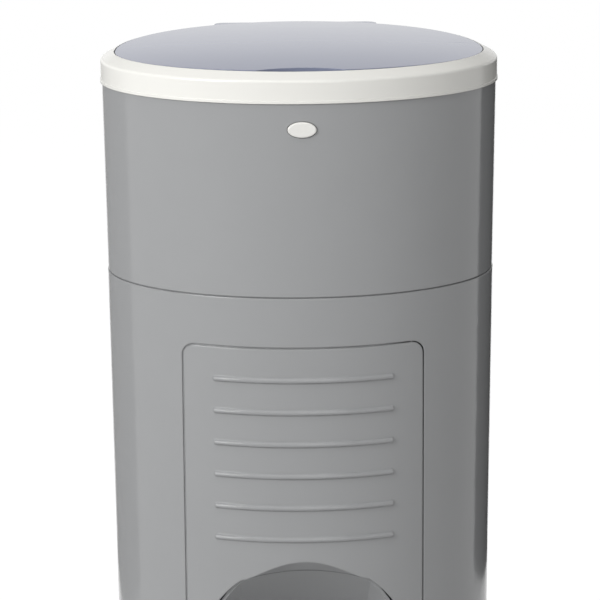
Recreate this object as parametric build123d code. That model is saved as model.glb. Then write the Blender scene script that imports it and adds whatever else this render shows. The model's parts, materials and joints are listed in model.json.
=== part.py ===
from build123d import *
import math
import os

# Nappy bin. Millimetres, +Z up, front faces -Y, origin on the floor under the middle of the overall box.

# --- overall form -------------------------------------------------------------------------------
ring_half_width = 152.5        # widest line to side, at the white top ring
front_depth = 118.0            # widest line to the front, at the ring
back_depth = 158.0             # widest line to the back, at the ring
body_bottom_z = 3.0
seam_z = 553.0                 # joint between lower body and upper hood
hood_top_z = 700.0
foot_half_width = ring_half_width - 8.3  # half widths of the tapering casing at its levels
seam_half_width = ring_half_width - 2.9
hood_half_width = ring_half_width - 0.9
seam_step = 0.4                # the lower body stands a hair proud of the hood
wall = 2.5
clearance = 0.3                # between pieces that are seated loosely
running_fit = 0.05             # radial, pins in their holes

# --- top ring and lid ---------------------------------------------------------------------------
ring_face_height = 17.0
ring_height = 22.5
ring_shoulder_radius = 2.4
ring_lip_proud = 0.5
ring_lip_height = 2.0
ring_band = 10.5               # outer edge to lid pocket, in plan
ring_ledge_width = 6.5
ring_ledge_drop = 9.5          # ring top down to the ledge that carries the lid
ring_ledge_thickness = 2.5
lid_gap = 0.8
lid_edge_drop = 0.8            # lid rim below ring top
lid_thickness = 3.0
lid_crown = 4.5
lid_liner_thickness = 2.2
seal_thickness = 1.8
notch_half_width = 33.0
notch_depth = 10.0
tongue_half_width = 66.0
tongue_thickness = 2.4
tongue_pocket_gap = 0.4
nose_slot_gap = 1.5
lid_step_height = 1.6
lid_step = 1.2                 # the rim's skirt is set in, so it clears the ring as the lid turns
tongue_reach = 24.0
tongue_corner = 8.0
liner_notch_margin = 6.0       # the liner leaves a fingertip room behind the notch

# --- lid hinge ----------------------------------------------------------------------------------
hinge_back = 6.0               # hinge axis behind the ring's outer face
hinge_drop = 10.8              # hinge axis below ring top
knuckle_radius = 5.0
hinge_pin_radius = 2.5
lid_knuckle_half = 24.0
ring_knuckle_start = 26.0
ring_knuckle_end = 40.0
hood_ear_start = 42.0
hood_ear_end = 54.0
pin_overhang = 1.5
pin_head_share = 1.4           # radius of a pin's head over the pin's own
ear_height = 24.0
ear_straight = 8.0             # the brace under an ear ends this far below the hood's top
ear_root = 14.0                # ears reach this far in, to where the back wall curves away
arm_root = 9.0                 # the ring's arms too

# --- pedal drive --------------------------------------------------------------------------------
lid_opening = 78.0             # degrees, lid and trap flap turn alike
rod_travel = 18.0
pedal_angle = 8.7              # degrees
nose_radius = 2.5
nose_arm_radius = 1.3          # slimmer than the nose, so the pusher's edge clears it
nose_gap = 0.6
nose_half_width = 5.0
rod_radius = 3.0
rod_setback = 24.5             # push rod in front of the lid's hinge axis
pusher_half_depth = 2.8
rod_foot_radius = 6.0
rod_foot_height = 8.0
rod_head_height = 16.0
pusher_foot_height = 5.0
lift_arm_height = 6.0
lift_clamp_radius = 6.5
guide_levels = (150.0, 330.0, 510.0)
guide_height = 8.0
guide_half_width = 8.0
cover_half_width = 17.0
cover_wall = 2.0
cover_top_z = 536.0
cover_reach = 10.0             # the cover's face in front of the rod
rod_hole_clearance = 1.0
rod_notch_half = 9.0

# --- chute, cassette and trap -------------------------------------------------------------------
chute_setback = 19.5           # chute's axis behind the casing's widest line
chute_radius = 75.0
funnel_wall = 2.2
tray_z = 596.0                 # underside of the cassette tray
tray_thickness = 3.0
cassette_height = 54.0
cassette_outer_radius = 104.0
cassette_wall = 1.8
cassette_slot = 3.0
funnel_flange_z = 688.0
funnel_flange_thickness = 2.5
trap_axis_back = 9.0           # trap pin behind the chute wall
trap_axis_drop = 14.0          # trap pin below the tray
trap_knuckle_radius = 4.5
trap_pin_radius = 2.0
trap_flap_thickness = 2.5
flange_width = 24.0
trap_lug_x = 27.0
trap_lug_thickness = 4.0
trap_lug_radius = 6.0
tube_overhang = 1.0            # chute's tube below the tray
cone_gap = 2.0                 # film cassette to the start of the cone
flap_overlap = 1.5             # flap beyond the tube's wall
seal_height = 0.6
seal_overlap = 1.0
flap_arm_inner = 14.0
flap_arm_outer = 22.0
flap_arm_root = 18.0           # the flap's arms start this far in front of the trap's pin
trap_spring_wire = 0.5
trap_spring_coil = 2.8
trap_spring_turns = 3
trap_spring_reach = 14.0

# --- door ---------------------------------------------------------------------------------------
door_half_width = 90.3
door_top_z = 514.0
door_bottom_z = 232.0
door_corner_radius = 9.0
door_gap = 1.1
door_hinge_low_inset = 5.0     # hinge axis from the door's edge, at its foot
door_hinge_top_inset = 9.0     # and at its top, where the door's corner is round
door_hinge_depth = 3.4         # hinge axis behind the outer face
door_lug_radius = 4.0
door_barrel_radius = 2.5
door_pin_radius = 1.2
door_barrel_length = 22.0
door_lug_height = 12.0
rib_count = 6
rib_pitch = 25.0
rib_first_z = 489.5            # centre of the top rib
rib_half_length = 68.0
rib_radius = 2.0
rib_roundness = 0.8            # share of the radius that the rib's ends are rounded by
door_barrel_end = 3.0          # the upper barrel stops short of the door's round corner
blade_x = -84.0
blade_z = 400.0
blade_thickness = 3.0
blade_height = 12.0
blade_length = 9.0
catch_gap = 0.4
catch_leaf = 2.0
catch_foot = 8.0

# --- arch and foot niche ------------------------------------------------------------------------
arch_radius = 81.0
arch_crown_z = 347.0
arch_floor_z = 12.0
lip_half_width = 50.0          # the sloping lip over the crown ends here
lip_drop = 9.0
lip_depth = 7.0
niche_depth = 66.0
niche_back_crown_z = 282.0
niche_back_half_width = 76.0
niche_wall = 2.2
niche_back_bottom_z = 42.0
lip_flange = 2.0
pedal_slot_half = 34.0

# --- base and pedal -----------------------------------------------------------------------------
base_thickness = 3.0
base_rim_height = 12.0
pad_height = 4.0
pad_radius = 11.0
inner_floor_z = 62.0
inner_floor_thickness = 2.5
pedal_axis_z = 28.0
pedal_axle_radius = 3.0
pedal_boss_radius = 6.5
pedal_arm_x = 24.0
pedal_arm_thickness = 4.0
pedal_arm_height = 11.0
pedal_arm_setback = 14.0       # arms start behind the tread's front edge, clear of the sill when pressed
tread_half_width = 54.0
tread_setback = 2.5            # tread's front edge behind the ring's foremost line
tread_depth = 44.0
tread_thickness = 4.0
tread_pad_thickness = 1.6
base_screw_x = 104.0
base_screw_front_y = -64.0
base_screw_back_y = 48.0
screw_radius = 2.0
screw_head_radius = 3.8
screw_length = 14.0
screw_boss_radius = 5.0
screw_recess = 1.2
floor_ledge_height = 3.0
floor_ledge_width = 4.0
pedal_ear_x = 31.0
pedal_ear_thickness = 4.0
pedal_ear_half_depth = 9.0
spring_post_radius = 4.0
spring_post_height = 6.0
pedal_spring_y = -58.0
pad_x = 92.0
pad_front_y = -82.0
pad_back_y = 62.0
tread_corner_radius = 14.0
tread_edge_radius = 1.8
heel_bar_y = 88.0
heel_half_width = 7.0
heel_radius = 4.0
spring_seat_half = 9.0
tread_pad_inset = 5.0
tread_ridges = 6
tread_ridge_radius = 1.0
ridge_inset = 12.5             # the ridges end short of the tread's sides
spring_coil_radius = 6.2
spring_wire_radius = 0.8
spring_turns = 6
spring_end_gap = 0.9

# --- latch button -------------------------------------------------------------------------------
button_drop = 19.1             # button centre below the ring
button_half_width = 10.8
button_half_height = 5.9
button_proud = 1.6
button_travel = 3.0
button_stem_radius = 2.5
button_length = 7.5
button_edge_radius = 1.2
boss_gap = 0.4
boss_depth = 12.0              # outer face to the plate that guides the stem
boss_wall = 2.0
boss_plate_thickness = 2.0
latch_wire_radius = 0.4
latch_coil_radius = 3.6
latch_turns = 3
catch_half_width = 9.0
catch_thickness = 2.5
catch_nose = 1.8
catch_nose_height = 3.0
catch_tail = 16.0

# --- hood ----------------------------------------------------------------------------------------
spigot_depth = 12.0
spigot_wall = 2.0
shoulder_height = 3.0
groove_height = 1.0
groove_depth = 1.2
tray_ledge_height = 4.0
ledge_width = 8.0
tray_screw_turns = (38.0, 142.0, 218.0, 322.0)
tray_screw_inset = 6.0
tray_screw_radius = 1.6
tray_screw_head_radius = 3.0
tray_screw_head_height = 1.6

# --- worked out from the above ------------------------------------------------------------------
widest_y = -(back_depth + hinge_back + knuckle_radius - front_depth) / 2
ring_bottom_z = hood_top_z + clearance
ring_top_z = ring_bottom_z + ring_height
hinge_y = widest_y + back_depth + hinge_back
hinge_z = ring_top_z - hinge_drop
rod_y = hinge_y - rod_setback
chute_y = widest_y + chute_setback
ledge_z = ring_top_z - ring_ledge_drop
arch_spring_z = arch_crown_z - arch_radius
pedal_arm_reach = rod_travel / math.radians(pedal_angle)
nose_arm = rod_travel / (2 * math.sin(math.radians(lid_opening / 2)))
nose_back = nose_arm * math.cos(math.radians(lid_opening / 2))
nose_drop = nose_arm * math.sin(math.radians(lid_opening / 2))
trap_y = chute_y + chute_radius + trap_axis_back
trap_z = tray_z - trap_axis_drop
pedal_axis_y = rod_y - pedal_arm_reach
tread_front_y = widest_y - front_depth + tread_setback
far = 1000.0                   # longer than anything a cut has to pass through
level_nudge = 0.001            # reads a level's size from just below it
lip_joint_z = arch_spring_z + math.sqrt(arch_radius**2 - lip_half_width**2)
lip_crown_z = arch_crown_z - lip_drop
base_top_z = body_bottom_z + base_thickness
door_barrel_levels = ((door_bottom_z, door_bottom_z + door_barrel_length),
                      (door_top_z - door_barrel_end - door_barrel_length, door_top_z - door_barrel_end))
heel_top_z = pedal_axis_z - rod_travel / 2 + heel_radius
rod_foot_z = heel_top_z + clearance
pusher_top_z = hinge_z - nose_drop - nose_radius - nose_gap
pusher_y = hinge_y - (nose_arm + nose_back) / 2
lift_arm_top_z = trap_z - nose_drop - nose_radius - nose_gap
lift_arm_y = trap_y + (nose_arm + nose_back) / 2
cover_front_y = rod_y - cover_reach
button_z = hood_top_z - button_drop
catch_y = widest_y - front_depth + ring_band + ring_ledge_width + clearance
lid_edge_z = ring_top_z - lid_edge_drop
lid_bottom_z = ledge_z + seal_thickness + clearance
lid_inset = ring_band + lid_gap
dome_radius = (ring_half_width**2 + lid_crown**2) / (2 * lid_crown)
lid_step_z = lid_edge_z - lid_step_height
tongue_top_z = hinge_z + knuckle_radius + 2 * tongue_pocket_gap + tongue_thickness
tongue_bottom_z = tongue_top_z - tongue_thickness
tube_bottom_z = tray_z - tube_overhang
cone_start_z = tray_z + tray_thickness + cassette_height + cone_gap
flap_radius = chute_radius + funnel_wall + flap_overlap
flap_top_z = tube_bottom_z - clearance - seal_height


# --- helpers ------------------------------------------------------------------------------------
def half_width_at(z):
    """Half width of the casing at height z: the lower body and the hood taper differently."""
    if z < seam_z:
        share = (z - body_bottom_z) / (seam_z - body_bottom_z)
        return foot_half_width + share * (seam_half_width + seam_step - foot_half_width)
    share = (z - seam_z) / (hood_top_z - seam_z)
    return seam_half_width + share * (hood_half_width - seam_half_width)


def egg(half_width, inset=0.0):
    """Plan outline: a shallow half ellipse in front of the widest line, a deeper one behind it."""
    share = half_width / ring_half_width
    side = half_width - inset
    front = front_depth * share - inset
    back = back_depth * share - inset
    outline = EllipticalCenterArc((0, 0), side, front, start_angle=180, arc_size=180)
    outline += EllipticalCenterArc((0, 0), side, back, start_angle=0, arc_size=180)
    return make_face(outline)


def egg_slab(half_width, inset, z_low, z_high):
    return extrude(Pos(0, widest_y, z_low) * egg(half_width, inset), z_high - z_low)


def casing(z_low, z_high, inset=0.0):
    """The solid inside the casing's outer face, moved in by inset, between two heights."""
    low = Pos(0, widest_y, z_low) * egg(half_width_at(z_low), inset)
    high = Pos(0, widest_y, z_high) * egg(half_width_at(z_high - level_nudge), inset)
    return loft([low, high])


def egg_ring(half_width, z_low, z_high, inset_out, inset_in):
    """A flat band that follows the plan outline, between two insets."""
    return (egg_slab(half_width, inset_out, z_low, z_high)
            - egg_slab(half_width, inset_in, z_low, z_high))


def inner_ledge(z_top, height, width):
    """A flat rib round the casing's inside, rooted in its wall, with its top at z_top."""
    half_width = half_width_at(z_top - height)
    return egg_ring(half_width, z_top - height, z_top, wall / 2, width + wall / 2)


def face_y(x, z, inset=0.0):
    """Y of the casing's front face at x and z."""
    share = half_width_at(z) / ring_half_width
    side = half_width_at(z) - inset
    return widest_y - (front_depth * share - inset) * math.sqrt(1 - (x / side) ** 2)


def front_prism(sketch, y_front, y_back):
    """A sketch drawn in X and Z, made solid from y_front to y_back."""
    return extrude(Plane.XZ.offset(-y_back) * sketch, y_back - y_front)


def side_prism(sketch, x_low, x_high):
    """A sketch drawn in Y and Z, made solid from x_low to x_high."""
    return extrude(Plane.YZ.offset(x_low) * sketch, x_high - x_low)


def block(x_low, x_high, y_low, y_high, z_low, z_high):
    size = (x_high - x_low, y_high - y_low, z_high - z_low)
    return Pos(x_low, y_low, z_low) * Box(*size, align=(Align.MIN, Align.MIN, Align.MIN))


def rod_x(radius, x_low, x_high, y, z):
    upright = (Align.CENTER, Align.CENTER, Align.MIN)
    return Pos(x_low, y, z) * Rot(0, 90, 0) * Cylinder(radius, x_high - x_low, align=upright)


def rod_z(radius, z_low, z_high, x, y):
    upright = (Align.CENTER, Align.CENTER, Align.MIN)
    return Pos(x, y, z_low) * Cylinder(radius, z_high - z_low, align=upright)


def rod_to_back(radius, y_front, y_back, x, z):
    upright = (Align.CENTER, Align.CENTER, Align.MIN)
    return Pos(x, y_back, z) * Rot(90, 0, 0) * Cylinder(radius, y_back - y_front, align=upright)


def capsule(start, end, radius):
    """A bar with round ends between two points of a sketch."""
    middle = ((start[0] + end[0]) / 2, (start[1] + end[1]) / 2)
    length = math.dist(start, end)
    turn = math.degrees(math.atan2(end[1] - start[1], end[0] - start[0]))
    bar = Pos(*middle) * Rot(0, 0, turn) * Rectangle(length, 2 * radius)
    return bar + Pos(*start) * Circle(radius) + Pos(*end) * Circle(radius)


def coil(radius, wire_radius, length, turns):
    """A spring's wire, wound about Z from 0 upwards."""
    rise = length - 2 * wire_radius
    path = Helix(pitch=rise / turns, height=rise, radius=radius)
    section = Plane(origin=path @ 0, z_dir=path % 0) * Circle(wire_radius)
    return Pos(0, 0, wire_radius) * sweep(section, path=path, is_frenet=True)


# --- casing -------------------------------------------------------------------------------------
def upright_panel(half_width, z_low, z_high, corner_radius):
    """Upright rectangle with rounded top corners, drawn in X and Z."""
    sheet = Pos(0, (z_low + z_high) / 2) * Rectangle(2 * half_width, z_high - z_low)
    return fillet(sheet.vertices().group_by(Axis.Y)[-1], corner_radius)


def arch_sheet(z_low):
    """Round arch on straight legs, drawn in X and Z."""
    legs = Pos(0, (z_low + arch_spring_z) / 2) * Rectangle(2 * arch_radius, arch_spring_z - z_low)
    return legs + Pos(0, arch_spring_z) * Circle(arch_radius)


def niche_sheet(half_width, crown_z, z_low):
    """The niche's section: straight legs, round haunches and a flatter crown, drawn in X and Z."""
    spread = half_width / arch_radius
    drop = lip_crown_z - crown_z
    haunch_turn = math.acos(lip_half_width / arch_radius) / 2
    spring = (half_width, arch_spring_z - drop)
    haunch = (half_width * math.cos(haunch_turn),
              arch_spring_z - drop + arch_radius * math.sin(haunch_turn))
    joint = (lip_half_width * spread, lip_joint_z - drop)
    crown = (0, crown_z)

    def left(point):
        return (-point[0], point[1])

    outline = Line((-half_width, z_low), (half_width, z_low))
    outline += Line((half_width, z_low), spring)
    outline += ThreePointArc(spring, haunch, joint)
    outline += ThreePointArc(joint, crown, left(joint))
    outline += ThreePointArc(left(joint), left(haunch), left(spring))
    outline += Line(left(spring), (-half_width, z_low))
    return make_face(outline)


def niche_solid(grow, y_extra):
    """The hollow for the foot, grown by a wall: its ceiling slopes down towards the back."""
    front = Plane.XZ.offset(-lip_y) * niche_sheet(arch_radius + grow, lip_crown_z + grow, base_top_z)
    back_sheet = niche_sheet(niche_back_half_width + grow, niche_back_crown_z + grow, base_top_z)
    back = Plane.XZ.offset(-(niche_back_y + y_extra)) * back_sheet
    return loft([front, back])


def door_axis_point(z):
    """A point on the door's hinge axis, which leans with the casing's face and in towards its top."""
    low_x = door_half_width - door_hinge_low_inset
    top_x = door_half_width - door_hinge_top_inset
    low = Vector(low_x, face_y(low_x, door_bottom_z) + door_hinge_depth, door_bottom_z)
    top = Vector(top_x, face_y(top_x, door_top_z) + door_hinge_depth, door_top_z)
    return low + (top - low) * ((z - door_bottom_z) / (door_top_z - door_bottom_z))


def door_rod(radius, z_low, z_high):
    """A round bar along the door's hinge axis."""
    start, end = door_axis_point(z_low), door_axis_point(z_high)
    upright = (Align.CENTER, Align.CENTER, Align.MIN)
    return Plane(origin=start, z_dir=end - start) * Cylinder(radius, (end - start).length, align=upright)


# --- faces and solids that several pieces share --------------------------------------------------
lip_y = face_y(0, arch_crown_z) + lip_depth
niche_back_y = lip_y + niche_depth
body_outer = casing(body_bottom_z, seam_z)
body_inner = casing(body_bottom_z, seam_z, wall)
hood_outer = casing(seam_z, hood_top_z)
hood_inner = casing(seam_z, hood_top_z, wall)
niche_room = niche_solid(niche_wall + clearance, niche_wall + clearance)
button_face_y = face_y(0, button_z)
boss_plate_y = button_face_y + boss_depth


def base_screw_places():
    """Four screws near the wall, two beside the niche and two behind it."""
    for x, y in ((base_screw_x, base_screw_front_y), (base_screw_x, base_screw_back_y)):
        yield x, y
        yield -x, y


def make_body_shell():
    shell = body_outer - body_inner
    door_hole = upright_panel(door_half_width + door_gap, door_bottom_z - door_gap,
                              door_top_z + door_gap, door_corner_radius + door_gap)
    shell -= front_prism(door_hole, -far, widest_y)
    shell -= front_prism(arch_sheet(arch_floor_z), -far, widest_y)
    ledge = inner_ledge(inner_floor_z, floor_ledge_height, floor_ledge_width)
    ledge -= block(-arch_radius, arch_radius, -far, lip_y + wall, 0, far)
    shell += ledge - niche_room
    top_lug = door_rod(door_lug_radius, door_top_z + door_gap, door_top_z + door_gap + door_lug_height)
    low_lug = door_rod(door_lug_radius, door_bottom_z - door_gap - door_lug_height,
                       door_bottom_z - door_gap)
    lugs = (top_lug + low_lug) & body_outer
    shell += lugs - niche_room
    shell -= door_rod(door_pin_radius + running_fit, door_bottom_z - door_gap - door_lug_height,
                      door_top_z + door_gap + door_lug_height)
    for x, y in base_screw_places():
        boss = rod_z(screw_boss_radius, base_top_z, inner_floor_z - floor_ledge_height, x, y)
        brace_x = math.copysign(ring_half_width, x)
        brace = block(min(x, brace_x), max(x, brace_x), y - wall / 2, y + wall / 2, base_top_z,
                      inner_floor_z - floor_ledge_height)
        post = (boss + brace) & body_outer
        shell += post - rod_z(screw_radius, base_top_z, base_top_z + screw_length, x, y)
    return shell


def make_door_panel():
    sheet = upright_panel(door_half_width, door_bottom_z, door_top_z, door_corner_radius)
    panel = (body_outer - body_inner) & front_prism(sheet, -far, widest_y)
    panel -= front_prism(arch_sheet(door_bottom_z - door_gap), -far, widest_y)
    panel = (arch_lip() & body_outer) + panel
    for low, high in door_barrel_levels:
        panel += door_rod(door_barrel_radius, low, high) & body_outer
        panel += door_barrel_web(low, high) & body_outer
        panel -= door_rod(door_pin_radius + running_fit, low - 2 * wall, high + 2 * wall)
    for number in range(rib_count):
        panel += face_rib(rib_first_z - number * rib_pitch)
    panel += door_blade()
    return panel


def door_barrel_web(z_low, z_high):
    """Web that ties a hinge barrel to the door's inner face."""
    axis = door_axis_point((z_low + z_high) / 2)
    return block(axis.X - door_barrel_radius / 2, axis.X + door_barrel_radius / 2,
                 face_y(axis.X, z_low) + wall / 2, axis.Y, z_low, z_high)


def arch_lip():
    """Crescent flange over the arch's crown, sloping in and down to the niche's front edge."""
    left, right = (-lip_half_width, lip_joint_z), (lip_half_width, lip_joint_z)

    def lens(crown_z):
        return make_face(Line(left, right) + ThreePointArc(right, (0, crown_z), left))

    y_front = face_y(0, arch_crown_z)
    front = Plane.XZ.offset(-y_front) * lens(arch_crown_z)
    back = Plane.XZ.offset(-(lip_y - clearance)) * lens(lip_crown_z)
    flange = front_prism(lens(arch_crown_z + lip_flange), y_front - wall, lip_y - clearance)
    return flange - loft([front, back]) - front_prism(lens(arch_crown_z), -far, y_front)


def face_rib(z):
    """Half-round rib that follows the door's curved face, rounded at both ends."""
    share = half_width_at(z) / ring_half_width
    side, front = half_width_at(z), front_depth * share
    turn = math.degrees(math.acos(rib_half_length / side))
    path = EllipticalCenterArc((0, 0), side, front, start_angle=180 + turn, arc_size=180 - 2 * turn)
    path = Pos(0, widest_y, z) * path
    bead = sweep(Plane(origin=path @ 0, z_dir=path % 0) * Circle(rib_radius), path=path)
    return fillet(bead.faces().filter_by(GeomType.PLANE).edges(), rib_radius * rib_roundness)


def door_blade():
    """Blade inside the door's free edge, which slides between the catch's two leaves."""
    y = face_y(blade_x, blade_z)
    half = blade_thickness / 2
    bar = block(blade_x - half, blade_x + half, y - wall, y + wall + blade_length,
                blade_z - blade_height / 2, blade_z + blade_height / 2)
    return bar & casing(body_bottom_z, seam_z, wall / 2)


def make_door_catch():
    """Clip on the casing's inside: two leaves that hold the door's blade, on a foot at the wall."""
    y_wall = face_y(blade_x, blade_z) + wall
    half_slot = blade_thickness / 2 + catch_gap
    z_low, z_high = blade_z - blade_height / 2, blade_z + blade_height / 2
    leaves = block(blade_x - half_slot - catch_leaf, blade_x + half_slot + catch_leaf,
                   y_wall + catch_leaf, y_wall + blade_length + 2 * catch_leaf, z_low, z_high)
    leaves -= block(blade_x - half_slot, blade_x + half_slot, y_wall, y_wall + blade_length + catch_gap,
                    z_low, z_high)
    leaves = leaves & casing(body_bottom_z, seam_z, wall + catch_leaf / 2)
    foot_end = -(door_half_width + door_gap + catch_gap)
    foot = block(foot_end - catch_foot, foot_end, y_wall - wall, y_wall + blade_length + 2 * catch_leaf,
                 z_low, z_high)
    bridge = block(foot_end - catch_leaf, blade_x - half_slot, y_wall + blade_length,
                   y_wall + blade_length + 2 * catch_leaf, z_low, z_high)
    return leaves + bridge + (foot & body_inner)


def make_door_pins():
    low = door_rod(door_pin_radius, door_bottom_z - door_gap - door_lug_height, door_bottom_z
                   + door_barrel_length)
    high = door_rod(door_pin_radius, door_top_z - door_barrel_length, door_top_z + door_gap
                    + door_lug_height)
    return Compound(children=[low, high])


def make_niche_liner():
    liner = niche_solid(niche_wall, niche_wall) - niche_solid(0, 0)
    liner = liner & casing(body_bottom_z, seam_z, wall + clearance)
    liner -= block(-pedal_slot_half, pedal_slot_half, niche_back_y - wall, far, base_top_z,
                   niche_back_bottom_z)
    liner -= door_rod(door_lug_radius + clearance, door_bottom_z - door_gap - door_lug_height - clearance,
                      door_bottom_z + door_barrel_length + door_gap)
    return liner


# --- base and pedal -----------------------------------------------------------------------------
def make_base_plate():
    plate = egg_slab(foot_half_width, wall + clearance, body_bottom_z, base_top_z)
    rim = egg_slab(foot_half_width, wall + clearance, base_top_z, body_bottom_z + base_rim_height)
    rim -= egg_slab(foot_half_width, 2 * wall + clearance, base_top_z, body_bottom_z + base_rim_height)
    for x, y in base_screw_places():
        rim -= rod_z(screw_boss_radius + clearance, base_top_z, far, x, y)
        reach = math.copysign(ring_half_width, x)
        rim -= block(min(x, reach), max(x, reach), y - wall / 2 - clearance, y + wall / 2 + clearance,
                     base_top_z, far)
    rim -= niche_room
    plate += rim
    for x, y in base_screw_places():
        plate -= rod_z(screw_radius + running_fit, body_bottom_z, base_top_z, x, y)
        plate -= rod_z(screw_head_radius + clearance, body_bottom_z, body_bottom_z + screw_recess, x, y)
    for x, y in pad_places():
        plate -= rod_z(pad_radius + clearance, body_bottom_z, pad_height, x, y)
    for ear in ears(pedal_ear_x, pedal_ear_thickness):
        plate += ear
    plate -= rod_x(pedal_axle_radius + running_fit, -far, far, pedal_axis_y, pedal_axis_z)
    plate += rod_z(spring_post_radius, base_top_z, base_top_z + spring_post_height, 0, pedal_spring_y)
    return plate


def pad_places():
    for x, y in ((pad_x, pad_front_y), (pad_x, pad_back_y)):
        yield x, y
        yield -x, y


def ears(x_start, thickness):
    """Upright ears that carry the pedal's axle, with a round top."""
    sheet = Pos(pedal_axis_y, (base_top_z + pedal_axis_z) / 2)
    sheet = sheet * Rectangle(2 * pedal_ear_half_depth, pedal_axis_z - base_top_z)
    sheet += Pos(pedal_axis_y, pedal_axis_z) * Circle(pedal_ear_half_depth)
    yield side_prism(sheet, x_start, x_start + thickness)
    yield side_prism(sheet, -x_start - thickness, -x_start)


def make_foot_pads():
    return Compound(children=[rod_z(pad_radius, 0, pad_height, x, y) for x, y in pad_places()])


def make_base_screws():
    group = []
    for x, y in base_screw_places():
        head = rod_z(screw_head_radius, body_bottom_z, body_bottom_z + screw_recess, x, y)
        shank = rod_z(screw_radius - running_fit, body_bottom_z, base_top_z + screw_length - clearance, x, y)
        socket = rod_z(screw_radius / 2, body_bottom_z, body_bottom_z + screw_recess / 2, x, y)
        group.append(head + shank - socket)
    return Compound(children=group)


def make_inner_floor():
    floor = egg_slab(half_width_at(inner_floor_z), wall + clearance, inner_floor_z,
                     inner_floor_z + inner_floor_thickness)
    floor -= niche_room
    floor -= block(-far, far, -far, niche_back_y, 0, far)
    floor -= rod_z(rod_radius + rod_hole_clearance, 0, far, 0, rod_y)
    return floor


def tilted(shape):
    """Sets the level pedal at its rest angle: tread up, heel down."""
    return Pos(0, pedal_axis_y, pedal_axis_z) * Rot(-pedal_angle / 2, 0, 0) * shape


def make_pedal():
    """Tread, two arms and heel, drawn level about the axle and then tilted to rest."""
    reach = pedal_arm_reach
    tread_front = tread_front_y - pedal_axis_y
    tread_back = tread_front + tread_depth
    half = pedal_arm_thickness / 2
    tread = block(-tread_half_width, tread_half_width, tread_front, tread_back, -tread_thickness / 2,
                  tread_thickness / 2)
    front_corners = tread.edges().filter_by(Axis.Z).group_by(Axis.Y)[0]
    tread = fillet(front_corners, tread_corner_radius)
    tread = fillet(tread.edges().group_by(Axis.Y)[0], tread_edge_radius)
    pedal = tread
    arm_front = tread_front + pedal_arm_setback
    arm_sheet = Pos((arm_front + heel_bar_y) / 2, -pedal_arm_height / 2 + half)
    arm_sheet = arm_sheet * Rectangle(heel_bar_y - arm_front, pedal_arm_height)
    arm_sheet += Circle(pedal_boss_radius)
    for x in (-pedal_arm_x, pedal_arm_x):
        pedal += side_prism(arm_sheet, x - half, x + half)
    web_low, web_high = -pedal_arm_height + half, half
    pedal += block(-pedal_arm_x, pedal_arm_x, heel_bar_y - pedal_arm_thickness, heel_bar_y, web_low, web_high)
    spring_y = pedal_spring_y - pedal_axis_y
    pedal += block(-pedal_arm_x, pedal_arm_x, spring_y - spring_seat_half, spring_y + spring_seat_half,
                   -half, half)
    heel = capsule((heel_bar_y - half, -half), (reach, 0), heel_radius)
    pedal += side_prism(heel, -heel_half_width, heel_half_width)
    pedal -= rod_x(pedal_axle_radius + running_fit, -far, far, 0, 0)
    return tilted(pedal)


def make_tread_pad():
    """Rubber pad with ridges across the tread."""
    front = tread_front_y - pedal_axis_y + tread_pad_inset
    depth = tread_depth - 2 * tread_pad_inset
    bottom = tread_thickness / 2
    sheet = RectangleRounded(2 * (tread_half_width - tread_pad_inset), depth, tread_corner_radius / 2)
    pad = extrude(Pos(0, front + depth / 2, bottom) * sheet, tread_pad_thickness)
    pitch = depth / tread_ridges
    for number in range(tread_ridges):
        half_length = tread_half_width - ridge_inset
        pad += rod_x(tread_ridge_radius, -half_length, half_length, front + pitch * (number + 0.5),
                     bottom + tread_pad_thickness)
    return tilted(pad)


def make_pedal_axle():
    end = pedal_ear_x + pedal_ear_thickness + pin_overhang
    axle = rod_x(pedal_axle_radius, -end, end, pedal_axis_y, pedal_axis_z)
    for x in (-end, end - pin_overhang + clearance):
        axle += rod_x(pedal_axle_radius * pin_head_share, x, x + pin_overhang - clearance, pedal_axis_y,
                      pedal_axis_z)
    return axle


def make_pedal_spring():
    seat_y = pedal_spring_y - pedal_axis_y
    turn = math.radians(pedal_angle / 2)
    seat_z = pedal_axis_z - seat_y * math.sin(turn) - pedal_arm_thickness / 2
    length = seat_z - base_top_z - spring_end_gap
    return Pos(0, pedal_spring_y, base_top_z) * coil(spring_coil_radius, spring_wire_radius, length,
                                                      spring_turns)


# --- push rod -----------------------------------------------------------------------------------
def make_push_rod():
    return rod_z(rod_radius, rod_foot_z + rod_foot_height / 2, pusher_top_z - pusher_foot_height, 0, rod_y)


def make_rod_foot():
    foot = rod_z(rod_foot_radius, rod_foot_z, rod_foot_z + rod_foot_height, 0, rod_y)
    return foot - rod_z(rod_radius + running_fit, rod_foot_z + rod_foot_height / 2, far, 0, rod_y)


def make_rod_head():
    """Moulded head that offsets the pusher from the rod to a line under the lid's nose."""
    low = pusher_top_z - rod_head_height
    head = rod_z(rod_foot_radius, low, pusher_top_z - pusher_foot_height / 2, 0, rod_y)
    arm = block(-nose_half_width, nose_half_width, rod_y, pusher_y + pusher_half_depth,
                pusher_top_z - pusher_foot_height - pusher_half_depth, pusher_top_z - pusher_foot_height / 2)
    pusher = block(-nose_half_width, nose_half_width, pusher_y - pusher_half_depth,
                   pusher_y + pusher_half_depth, pusher_top_z - pusher_foot_height, pusher_top_z)
    socket = rod_z(rod_radius + running_fit, 0, pusher_top_z - pusher_foot_height, 0, rod_y)
    return head + arm + pusher - socket


def make_lift_arm():
    """Clamp on the rod with a finger that lifts the trap flap's nose."""
    low = lift_arm_top_z - lift_arm_height
    clamp = rod_z(lift_clamp_radius, low - lift_arm_height / 2, lift_arm_top_z, 0, rod_y)
    finger = block(-nose_half_width, nose_half_width, lift_arm_y - pusher_half_depth, rod_y, low,
                   lift_arm_top_z)
    return clamp + finger - rod_z(rod_radius + running_fit, 0, far, 0, rod_y)


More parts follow.
